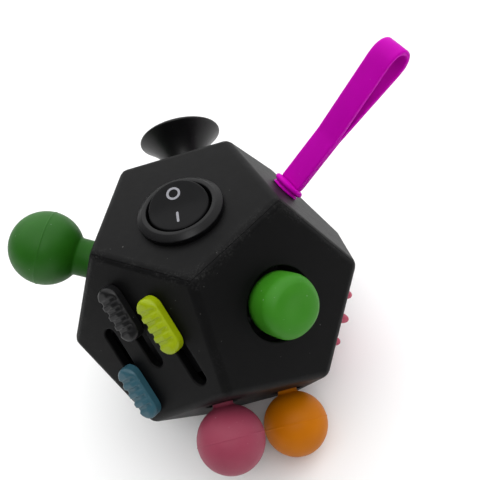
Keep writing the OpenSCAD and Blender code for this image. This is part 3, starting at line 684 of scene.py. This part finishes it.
def rocker_cap():
    radius, rim = 6.0, 0.45
    steps = 128
    bm = bmesh.new()
    rings = []
    radii = [0.0] + [(radius - rim) * (i / 12) for i in range(1, 13)]
    for r in radii:
        if r == 0:
            rings.append([bm.verts.new((0, 0, rocker_height(0)))])
            continue
        rings.append([ring_vertex(bm, r, k, steps, 0.0) for k in range(steps)])
    for i in range(1, 7):
        a = math.radians(90 * i / 6)
        r = radius - rim + rim * math.sin(a)
        rings.append([ring_vertex(bm, r, k, steps, rim * (1 - math.cos(a))) for k in range(steps)])
    rings.append([bm.verts.new(wheel(radius, k, steps, -1.4)) for k in range(steps)])
    rings.append([bm.verts.new(wheel(radius - 0.5, k, steps, -1.4)) for k in range(steps)])
    rings.append([bm.verts.new((0, 0, -1.4))])
    for low, high in zip(rings, rings[1:]):
        join_rings(bm, low, high)
    return finish_mesh(bm, "rocker_cap", ROCKER_FRAME, 40)


def wheel(r, k, steps, z):
    a = 2 * math.pi * k / steps
    return (r * math.cos(a), r * math.sin(a), z)


def ring_vertex(bm, r, k, steps, drop):
    x, y, _ = wheel(r, k, steps, 0)
    return bm.verts.new((x, y, rocker_height(y) - drop))


def mark_strip(name, outline_out, outline_in):
    """Thin printed ring or bar that lies on the rocker's top."""
    lift = 0.03
    bm = bmesh.new()
    rings = []
    sunk = -0.05
    section = [(outline_out, sunk), (outline_out, lift), (outline_in, lift), (outline_in, sunk)]
    for points, up in section:
        rings.append([bm.verts.new((x, y, rocker_height(y) + up)) for x, y in points])
    for low, high in zip(rings, rings[1:] + rings[:1]):
        join_rings(bm, low, high)
    return finish_mesh(bm, name, ROCKER_FRAME, 60)


def switch_marks():
    ring_at, bar_at = (-0.5, 3.1), (-0.35, -2.7)
    outer, inner = (
        [(ring_at[0] + x, ring_at[1] + y) for x, y, _ in circle_outline(radius, 0, 48)]
        for radius in (1.38, 0.92)
    )
    bar = [(bar_at[0] + x, bar_at[1] + y) for x, y, _ in turned_stadium(2.7, 0.46)]
    core = [(bar_at[0] + x, bar_at[1] + y) for x, y, _ in turned_stadium(2.2, 0.02)]
    return [mark_strip("mark_off", outer, inner), mark_strip("mark_on", bar, core)]


def turned_stadium(length, width):
    return [(-y, x, z) for x, y, z in stadium(length, width, 0, 6)]


dress(switch_bezel(), "shell", GLOSS, "gloss_black", ["switch_housing"])
dress(rocker_cap(), "rocker", ROCKER_GLOSS, "gloss_black", ["switch_rocker"])
for mark in switch_marks():
    dress(mark, "rocker", MARK, "inner_white")


# ---------- Joystick ----------

def squarish(amount):
    """Pulls a round piece slightly towards a square with round corners."""
    def warp(co):
        a = math.atan2(co.y, co.x)
        grow = 1 - amount * math.cos(4 * a)
        return Vector((co.x * grow, co.y * grow, co.z))
    return warp


def joystick_cap():
    """Domed thumb cap with a soft edge and a slightly dished top."""
    profile = [(0, 0.4), (5.0, 0.4), (5.0, -1.8)]
    profile += arc((5.75, -1.6), 0.4, 200, 320, 6)
    profile += [(6.15, -1.0), (6.2, 0.6), (6.2, 2.4)]
    profile += arc((3.4, 2.85), 2.8, 0, 66, 16)
    profile += [(3.9, 5.54), (3.2, 5.68), (2.4, 5.7), (1.4, 5.62), (0.7, 5.57), (0, 5.56)]
    return finish_mesh(revolve(profile, 128, squarish(0.014)), "stick_cap", face(JOYSTICK), 50)


dress(joystick_cap(), "stick", CAP_GREEN, "silicone_green", ["joystick_cap"])


# ---------- Sliders ----------

def soft_step(value, low, high):
    t = min(1.0, max(0.0, (value - low) / (high - low)))
    return t * t * (3 - 2 * t)


def groove(s, pitch):
    """1 in the floor of each of the four grooves, 0 between them."""
    away = min(abs(s - pitch * i) for i in (-1.5, -0.5, 0.5, 1.5))
    return 1 - soft_step(away, 0.25, 0.72)


def slider_knob(name, s, q):
    """Bar with round ends. Its grooves start on one long side and fade before the other."""
    length, width, low, high, edge, pitch = 11.6, 4.8, 0.25, 2.65, 0.8, 2.1
    levels = [(0, low), (0, low + 0.3), (0, low + 0.9), (0, high - 0.9), (0, high - edge)]
    for i in range(1, 6):
        a = math.radians(90 * i / 5)
        levels.append((edge * (1 - math.cos(a)), high - edge + edge * math.sin(a)))
    for i in range(1, 15):
        levels.append((edge + (width / 2 - edge) * i / 14, high))
    bm = bmesh.new()
    rings = []
    for inset, z in levels:
        ring = []
        for x, y in dense_stadium(length - 2 * inset, width - 2 * inset, 90):
            cut = groove(x, pitch)
            top = soft_step(z, low + 0.9, high - 0.1)
            depth = 0.34 * cut * (1 - soft_step(y, 1.5, 2.3))
            shoulder = 0.55 * soft_step(y, 0.4, width / 2)
            scallop = 0.2 * cut * soft_step(-y, 0.9, width / 2) * soft_step(z, low + 0.2, low + 1.1)
            ring.append(bm.verts.new((x, y + scallop, z - top * (depth + shoulder))))
        rings.append(ring)
    for under, over in zip(rings, rings[1:]):
        join_rings(bm, under, over)
    bm.faces.new(list(reversed(rings[0])))
    stem = stadium(STEM_L - 0.2, SLOT_W - 0.2, 0)
    loft(bm, [[(x, y, z) for x, y, _ in stem] for z in (-2.1, low + 0.1)])
    return finish_mesh(bm, name, slider_frame(s, q), 45)


def dense_stadium(length, width, count):
    """Outline points of a bar with round ends, with many points on its straight sides."""
    half = (length - width) / 2
    r = width / 2
    points = []
    for i in range(count):
        points.append((-half + 2 * half * i / count, -r))
    for i in range(12):
        a = math.radians(-90 + 180 * i / 12)
        points.append((half + r * math.cos(a), r * math.sin(a)))
    for i in range(count):
        points.append((half - 2 * half * i / count, r))
    for i in range(12):
        a = math.radians(90 + 180 * i / 12)
        points.append((-half + r * math.cos(a), r * math.sin(a)))
    return points


KNOBS = (
    ("black", MIDDLE_SLOT_S - TRAVEL / 2 + 1, 0, KNOB_BLACK),
    ("lime", OUTER_SLOT_S - TRAVEL / 2, SLOT_PITCH, LIME),
    ("blue", OUTER_SLOT_S + TRAVEL / 2, -SLOT_PITCH, BLUE),
)
for tint, s_at, q_at, finish in KNOBS:
    knob = slider_knob("knob_" + tint, s_at, q_at)
    dress(knob, tint + "_slider", finish, "slider_" + tint, ["slider_knob_" + tint])


# ---------- Strap ----------

LOOP_ROOT = -0.6


def loop_outline(grow):
    """Outer outline of the loop in its own (y, z) plane, grown outward."""
    neck, neck_l, r, tip = 1.1 + grow, 10.9, LOOP_R + grow, STRAP_L + grow
    points = [(neck * math.cos(a), LOOP_ROOT + neck * math.sin(a)) for a in angles(180, 360, 12)]
    points += line((neck, 0.2), (neck, neck_l), 12)
    points += line((neck, neck_l + 0.8), (r * 0.996, tip - r - 1), 26)
    points += [(r * math.cos(a), tip - r + r * math.sin(a)) for a in angles(-4, 184, 30)]
    points += line((-r * 0.996, tip - r - 1), (-neck, neck_l + 0.8), 26)
    points += line((-neck, neck_l), (-neck, 0.2), 12)
    return points


def hole_outline(grow):
    """Outline of the loop's opening, shrunk by grow."""
    neck, start, r, tip = 0.15, 13.6, LOOP_R - BAND_T - grow, STRAP_L - BAND_T - grow
    points = [(0.0, start - 0.25 + grow)]
    points += line((neck, start + grow), (r * 0.996, tip - r - 0.8), 26)
    points += [(r * math.cos(a), tip - r + r * math.sin(a)) for a in angles(-4, 184, 24)]
    points += line((-r * 0.996, tip - r - 0.8), (-neck, start + grow), 26)
    return points


def angles(start, end, count):
    return [math.radians(start + (end - start) * i / count) for i in range(count + 1)]


def line(a, b, count):
    return [
        (a[0] + (b[0] - a[0]) * i / count, a[1] + (b[1] - a[1]) * i / count) for i in range(count + 1)
    ]


def strap_loop():
    """Band bent into a teardrop loop with soft edges."""
    half, soft = 2.7, 0.42
    rows = [(-half, soft)]
    for i in range(1, 5):
        a = math.radians(90 * i / 4)
        rows.append((-half + soft * (1 - math.cos(a)), soft * (1 - math.sin(a))))
    rows += [(-x, inset) for x, inset in reversed(rows)]
    bm = bmesh.new()
    caps = [[], []]
    for outline, sign in ((loop_outline, -1), (hole_outline, -1)):
        rings = []
        for x, inset in rows:
            rings.append([bm.verts.new((x, y, z)) for y, z in outline(sign * inset)])
        for low, high in zip(rings, rings[1:]):
            join_rings(bm, low, high)
        for cap, ring in zip(caps, (rings[0], rings[-1])):
            cap += [bm.edges.get((ring[i], ring[(i + 1) % len(ring)])) for i in range(len(ring))]
    for cap in caps:
        bmesh.ops.triangle_fill(bm, edges=cap, use_beauty=True)
    return finish_mesh(bm, "strap", LOOP_FRAME, 55)


def strap_collar():
    """Barbed plug, flared foot and the thick ring that the loop grows from."""
    profile = [(0, -3.4), (1.9, -3.4), (2.9, -2.7), (2.9, -1.9), (1.94, -1.9), (1.94, 0.1), (3.1, 0.1)]
    profile += [(3.2, 0.2), (3.0, 0.5), (2.85, 0.78)]
    profile += arc((3.02, 1.42), 0.58, -95, 90, 12)
    profile += [(2.2, 2.0), (1.9, 2.1), (0, 2.1)]
    return finish_mesh(revolve(profile, 72), "collar", STRAP_FRAME, 50)


loop = strap_loop()
dress(strap_collar(), "shell", MAGENTA, "silicone_magenta", ["strap_collar"])
loop.data.materials.append(MAGENTA)
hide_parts("strap_loop")
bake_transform(loop)


# ---------- Suction cup ----------

def suction_cup():
    """Plug, stem and a flared bell with a rounded lip."""
    profile = [(0, -3.7), (5.0, -3.7), (5.2, -3.5), (5.2, -3.1), (5.0, -2.9), (3.74, -2.9), (3.74, 0.2)]
    for i in range(1, 21):
        t = i / 20
        profile.append((3.8 + 5.5 * t ** 2.2, 0.4 + 10.5 * t ** 0.9))
    profile += arc((9.25, 11.38), 0.4, -50, 150, 10)
    for i in range(18, -1, -1):
        t = i / 20
        profile.append((9.7 * t, 7 + 4.7 * t ** 1.7))
    return finish_mesh(revolve(profile, 128), "cup_piece", face(CUP), 50)


dress(suction_cup(), "cup", BLACK_RUBBER, "silicone_black", ["suction_cup"])


# ---------- Balls ----------

def ball(name, matrix, r, h, neck, slim=0.0):
    """Ball on a necked plug, with a raised mould line round its middle.

    slim is the radius of the neck between the face and the ball, where it is thinner than its plug.
    """
    plug = [(0, -3.7), (neck + 1.2, -3.7), (neck + 1.4, -3.5), (neck + 1.4, -2.9)]
    plug += [(neck - 0.06, -2.9), (neck - 0.06, 0.3)]
    if slim:
        plug[-1:] = [(neck - 0.06, -1.0), (neck - 0.26, -0.8), (slim, -0.8), (slim, 0.2)]
        neck = slim
    meet = math.degrees(math.asin(min(1.0, (neck + 0.25) / r)))
    profile = plug + [(neck, max(0.25, h - r * math.cos(math.radians(meet)) - 0.35))]
    tilt = -90 + meet
    while tilt < 90:
        bulge = 0.085 * math.exp(-((math.radians(tilt) * r) / 0.16) ** 2)
        a = math.radians(tilt)
        profile.append(((r + bulge) * math.cos(a), h + (r + bulge) * math.sin(a)))
        tilt += 0.5 if abs(tilt) < 5 else 2.5
    profile.append((0, h + r))
    return finish_mesh(revolve(profile, 144), name, matrix, 60)


dress(
    ball("ball_green", BIG_BALL_FRAME, 8.15, 12.05, 4.2),
    "big_ball", GREEN, "silicone_green", ["green_ball"],
)
dress(
    ball("ball_pink", face(SMALL_BALLS) @ shift(PINK_AT[0], PINK_AT[1], 0), 6.85, 7.1, 3.3, 2.1),
    "pink_ball_body", PINK, "silicone_pink", ["pink_ball"],
)
dress(
    ball("ball_orange", face(SMALL_BALLS) @ shift(ORANGE_AT[0], ORANGE_AT[1], 0), 6.85, 7.1, 3.3, 2.1),
    "orange_ball_body", ORANGE, "silicone_orange", ["orange_ball"],
)


# ---------- Stud pad ----------

def stud_pad():
    """Pad with round studs raised from one continuous skin."""
    ring_r, rise, stud_h, base_r = 7.4, 1.4, 1.9, 1.2
    centres = [(0.0, 0.0)]
    for i in range(8):
        a = math.radians(36 + 45 * i)
        centres.append((ring_r * math.cos(a), ring_r * math.sin(a)))
    steps = 288
    bm = bmesh.new()
    rings = [[bm.verts.new((0, 0, rise + stud_h))]]
    radii = [8.75 * i / 64 for i in range(1, 65)]
    for r in radii:
        ring = []
        for k in range(steps):
            x, y, _ = wheel(r, k, steps, 0)
            near = min(math.hypot(x - cx, y - cy) for cx, cy in centres)
            t = min(1.0, near / base_r)
            ring.append(bm.verts.new((x, y, rise + stud_h * (1 - t ** 2.4) ** 0.75)))
        rings.append(ring)
    edge = [(8.9, 1.33), (9.0, 1.15), (9.0, 0.02)]
    plug = [(8.35, 0.02), (8.35, -1.86), (9.9, -1.86), (9.9, -3.0)]
    for r, z in edge + plug:
        rings.append([bm.verts.new(wheel(r, k, steps, z)) for k in range(steps)])
    rings.append([bm.verts.new((0, 0, -3.0))])
    for low, high in zip(rings, rings[1:]):
        join_rings(bm, low, high)
    return finish_mesh(bm, "pad", face(STUDS), 60)


dress(stud_pad(), "shell", STUD_PINK, "silicone_pink", ["stud_pad"])


# ---------- Rollers, buttons and dial ----------

def roller(name, slot):
    """Ribbed wheel with a hole for its axle."""
    ribs, r, width, soft = 12, 4.2, 3.2, 0.25
    outline = []
    for i in range(240):
        a = 2 * math.pi * i / 240
        wave = 0.5 - 0.5 * math.cos(ribs * a)
        outline.append((a, r - 0.5 * (1 - min(1.0, 1.6 * wave)) ** 1.5))
    bm = bmesh.new()
    rings = []
    levels = [(-width / 2, soft), (-width / 2 + 0.08, 0.08), (-width / 2 + soft, 0.0)]
    levels += [(-z, inset) for z, inset in reversed(levels)]
    rows = [[(a, AXLE_HOLE_R) for a, _ in outline]]
    rows += [[(a, d - inset) for a, d in outline] for _, inset in levels]
    rows += rows[:1]
    heights = [-width / 2] + [z for z, _ in levels] + [width / 2]
    for row, z in zip(rows, heights):
        rings.append([bm.verts.new((d * math.cos(a), d * math.sin(a), z)) for a, d in row])
    for low, high in zip(rings, rings[1:] + rings[:1]):
        join_rings(bm, low, high)
    matrix = face(ROLLERS) @ shift(0, slot * ROLLER_STEP, ROLLER_Z) @ turn(90, "X")
    return finish_mesh(bm, name, matrix, 35)


for side, slot in (("left", -1), ("middle", 0), ("right", 1)):
    dress(roller("wheel_" + side, slot), side + "_roller", GREY, "grey_plastic", ["roller_" + side])


def button(name, i):
    """Click button with a rounded edge, a dished top and a flange behind the wall."""
    profile = [(0, -0.6), (2, -0.6), (2, -2.8), (3.6, -2.8)]
    profile += [(3.7, -2.7), (3.7, -2.0), (3.6, -1.9), (3.0, -1.9)]
    profile += arc((2.5, 1.05), 0.5, 0, 80, 6)
    profile += [(1.8, 1.6), (1.2, 1.5), (0, 1.45)]
    return finish_mesh(revolve(profile, 72), name, button_frame(i), 50)


BUTTON_FINISHES = (
    ("first", CAP_GREEN, "button_green"),
    ("second", STUD_PINK, "button_pink"),
    ("third", BLUE, "button_blue"),
)
for i, (order, finish, slot_name) in enumerate(BUTTON_FINISHES):
    dress(button("click_" + order, i), order + "_button", finish, slot_name, [f"button_{i + 1}"])


def dial():
    """Thin disc with a notched rim and an off-centre finger dimple."""
    radius, low, high, notches = 8.6, 0.3, 2.6, 20
    steps = 320
    bm = bmesh.new()
    rings = [[bm.verts.new((0, 0, dial_height(0, 0)))]]
    for i in range(1, 41):
        r = (radius - 0.9) * i / 40
        ring = []
        for k in range(steps):
            x, y, _ = wheel(r, k, steps, 0)
            ring.append(bm.verts.new((x, y, dial_height(x, y))))
        rings.append(ring)
    rim = [(0.35, high - 0.05), (0.1, high - 0.25), (0.0, high - 0.5), (0.0, low + 0.3), (0.3, low)]
    for inset, z in rim:
        ring = []
        for k in range(steps):
            a = 2 * math.pi * k / steps
            bite = max(0.0, math.cos(notches * a)) ** 2 * 0.45
            r = radius - inset - bite
            ring.append(bm.verts.new((r * math.cos(a), r * math.sin(a), z)))
        rings.append(ring)
    for r, z in ((2.6, low), (2.6, -2.1)):
        rings.append([bm.verts.new(wheel(r, k, steps, z)) for k in range(steps)])
    rings.append([bm.verts.new((0, 0, -2.1))])
    for under, over in zip(rings, rings[1:]):
        join_rings(bm, under, over)
    return finish_mesh(bm, "dial_piece", face(DIAL), 40)


def dial_height(x, y):
    away = math.hypot(x - 4.3, y)
    dimple = 1.05 * max(0.0, 1 - (away / 2.7) ** 2) ** 1.2
    return 2.6 - dimple


dress(dial(), "dial_body", GREY, "grey_plastic", ["dial"])

# ---------- Carried-over CAD nodes ----------

CARRIED = {
    "retainer_screws": STEEL, "switch_spring": STEEL, "joystick_spring": STEEL,
    "roller_axle": STEEL, "dial_washer": STEEL, "dial_screw": STEEL,
    "button_spring_1": STEEL, "button_spring_2": STEEL, "button_spring_3": STEEL,
    "switch_lever": BRASS, "switch_terminals": BRASS,
    "switch_plunger": WHITE, "gimbal_ring": DARK, "joystick_housing": DARK,
    "joystick_stick": DARK, "slider_clip_black": DARK, "slider_clip_lime": DARK,
    "slider_clip_blue": DARK, "slider_backplate": DARK, "stud_backing": DARK,
    "roller_cradle": DARK, "button_base": DARK,
}
for name, finish in CARRIED.items():
    mesh = nodes[name].data
    mesh.materials.clear()
    mesh.materials.append(finish)

# ---------- Camera, light and floor ----------

def add_camera():
    """Camera at the photographed angle, looking down on the switch and joystick faces."""
    data = bpy.data.cameras.new("camera")
    data.lens = 48.3
    data.sensor_width = 36
    camera = bpy.data.objects.new("camera", data)
    right = Vector((0.9599, -0.1493, -0.2375)).normalized()
    forward = Vector((-0.0711, 0.6897, -0.7207)).normalized()
    up = right.cross(forward).normalized()
    right = forward.cross(up).normalized()
    basis = Matrix((right, up, -forward)).transposed().to_4x4()
    camera.matrix_world = Matrix.Translation(Vector((18.2, -93.2, 135.2)) * MM) @ basis
    bpy.context.scene.collection.objects.link(camera)
    bpy.context.scene.camera = camera


def add_area(name, place, aim, size, power, tint=(1, 1, 1)):
    data = bpy.data.lights.new(name, "AREA")
    data.energy = power
    data.size = size
    data.color = tint
    lamp = bpy.data.objects.new(name, data)
    lamp.location = place
    lamp.rotation_euler = (Vector(aim) - Vector(place)).to_track_quat("-Z", "Y").to_euler()
    bpy.context.scene.collection.objects.link(lamp)


def add_floor():
    bm = bmesh.new()
    bmesh.ops.create_grid(bm, x_segments=1, y_segments=1, size=4)
    mesh = bpy.data.meshes.new("floor")
    bm.to_mesh(mesh)
    bm.free()
    floor = bpy.data.objects.new("floor", mesh)
    s = Shader("floor_paper")
    s.set(Base_Color=s.mix(s.noise(0.02, 3), (0.91, 0.91, 0.91), (0.93, 0.93, 0.93)), Roughness=0.9)
    s.surface.inputs["Specular IOR Level"].default_value = 0.1
    mesh.materials.append(s.material)
    bpy.context.scene.collection.objects.link(floor)


def add_world():
    """Soft box all round: bright above and behind the object, dim in front and at the horizon."""
    world = bpy.data.worlds.new("studio")
    world.use_nodes = True
    tree = world.node_tree
    background = tree.nodes["Background"]
    background.inputs["Color"].default_value = (1, 1, 1, 1)
    place = tree.nodes.new("ShaderNodeTexCoord")
    dot = tree.nodes.new("ShaderNodeVectorMath")
    dot.operation = "DOT_PRODUCT"
    dot.inputs[1].default_value = (0.12, 0.45, 0.88)
    tree.links.new(place.outputs["Generated"], dot.inputs[0])
    ramp = tree.nodes.new("ShaderNodeMapRange")
    ramp.interpolation_type = "SMOOTHSTEP"
    ramp.inputs["From Min"].default_value = 0.1
    ramp.inputs["From Max"].default_value = 0.95
    ramp.inputs["To Min"].default_value = 0.06
    ramp.inputs["To Max"].default_value = 1.95
    tree.links.new(dot.outputs["Value"], ramp.inputs["Value"])
    tree.links.new(ramp.outputs["Result"], background.inputs["Strength"])
    bpy.context.scene.world = world


add_camera()
add_floor()
add_world()
middle = (0, 0, 0.026)
add_area("front_key", (0.05, -0.4, 0.65), middle, 0.3, 1.1)
bpy.context.scene.view_settings.view_transform = "Standard"
